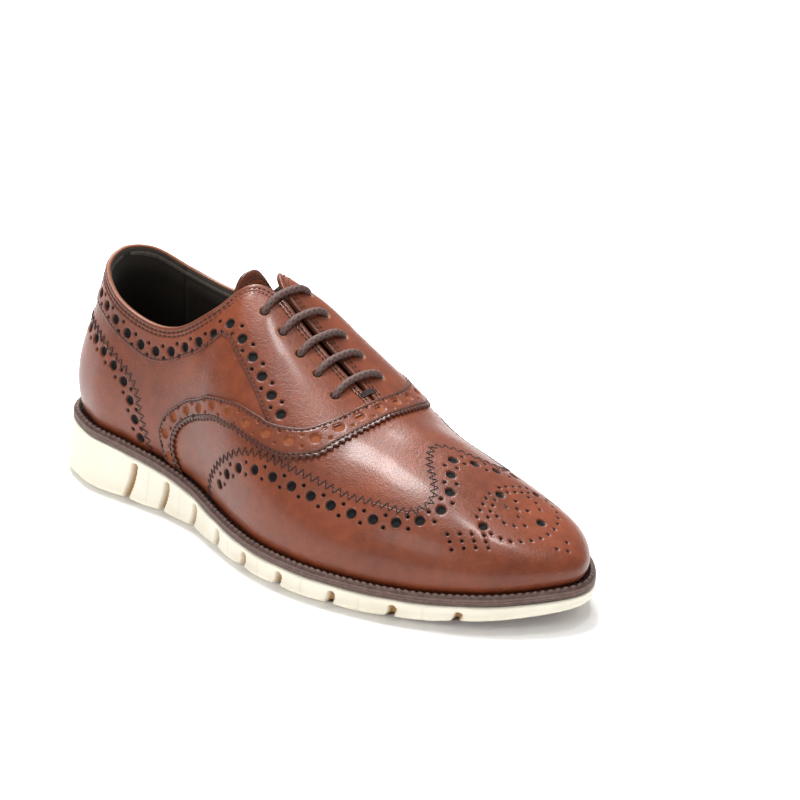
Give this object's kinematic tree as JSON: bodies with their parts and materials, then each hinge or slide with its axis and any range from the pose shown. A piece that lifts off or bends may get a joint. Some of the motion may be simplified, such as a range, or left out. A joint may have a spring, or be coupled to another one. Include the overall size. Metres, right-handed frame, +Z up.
{
  "type": "leather oxford shoe",
  "caption": "Low lace-up leather shoe for a right foot, with brogued wing tip and collar, stitched welt and notched foam sole.",
  "frame": {"origin": "middle of the object's box in plan, on the ground under the sole", "axes": "+X from heel to toe, +Y towards the inner side of the foot, +Z up"},
  "size_m": [0.301, 0.1118, 0.1175],
  "materials": {
    "upper_leather": "burnished brown calf leather, semi-gloss, fine grain",
    "lining_leather": "smooth dark olive-brown lining leather, matt",
    "fibre_board": "compressed fibre board",
    "soft_foam": "soft padding foam",
    "sole_foam": "cream moulded foam sole, matt",
    "tread_rubber": "tan rubber, matt",
    "welt_rubber": "dark brown moulded welt, matt",
    "thread": "dark waxed thread",
    "lace_cotton": "dark brown woven round lace",
    "aglet_plastic": "brown shrunk plastic tip",
    "eyelet_brass": "antique brass"
  },
  "bodies": {
    "shoe": {"toe_wingtip": "upper_leather", "brogued_band": "upper_leather", "vamp": "upper_leather", "quarter_lateral": "upper_leather", "quarter_medial": "upper_leather", "collar_facing_lateral": "upper_leather", "collar_facing_medial": "upper_leather", "heel_counter_cover": "upper_leather", "heel_stiffener": "fibre_board", "toe_puff": "fibre_board", "heel_grip": "lining_leather", "vamp_lining": "lining_leather", "quarter_lining_lateral": "lining_leather", "quarter_lining_medial": "lining_leather", "collar_foam_lateral": "soft_foam", "collar_foam_medial": "soft_foam", "midsole": "sole_foam", "heel_tread_pad": "tread_rubber", "forefoot_tread_pad": "tread_rubber", "welt": "welt_rubber", "welt_thread": "thread", "sole_filler": "soft_foam", "insole_board": "fibre_board", "sock_liner": "lining_leather", "lace": "lace_cotton", "aglet_lateral": "aglet_plastic", "aglet_medial": "aglet_plastic", "eyelet_lateral_1": "eyelet_brass", "eyelet_lateral_2": "eyelet_brass", "eyelet_lateral_3": "eyelet_brass", "eyelet_lateral_4": "eyelet_brass", "eyelet_lateral_5": "eyelet_brass", "eyelet_medial_1": "eyelet_brass", "eyelet_medial_2": "eyelet_brass", "eyelet_medial_3": "eyelet_brass", "eyelet_medial_4": "eyelet_brass", "eyelet_medial_5": "eyelet_brass", "bar_tack": "thread"},
    "tongue": {"tongue": "upper_leather", "tongue_padding": "lining_leather"}
  },
  "joints": [
    {"name": "tongue_hinge", "type": "hinge", "parent": "shoe", "child": "tongue", "pos_m": [0.0336, 0.005, 0.0605], "axis": [0, 1, 0], "range_deg": [-10, 0], "stiffness_Nm_per_rad": 0.3, "springref_deg": 2.86}
  ]
}
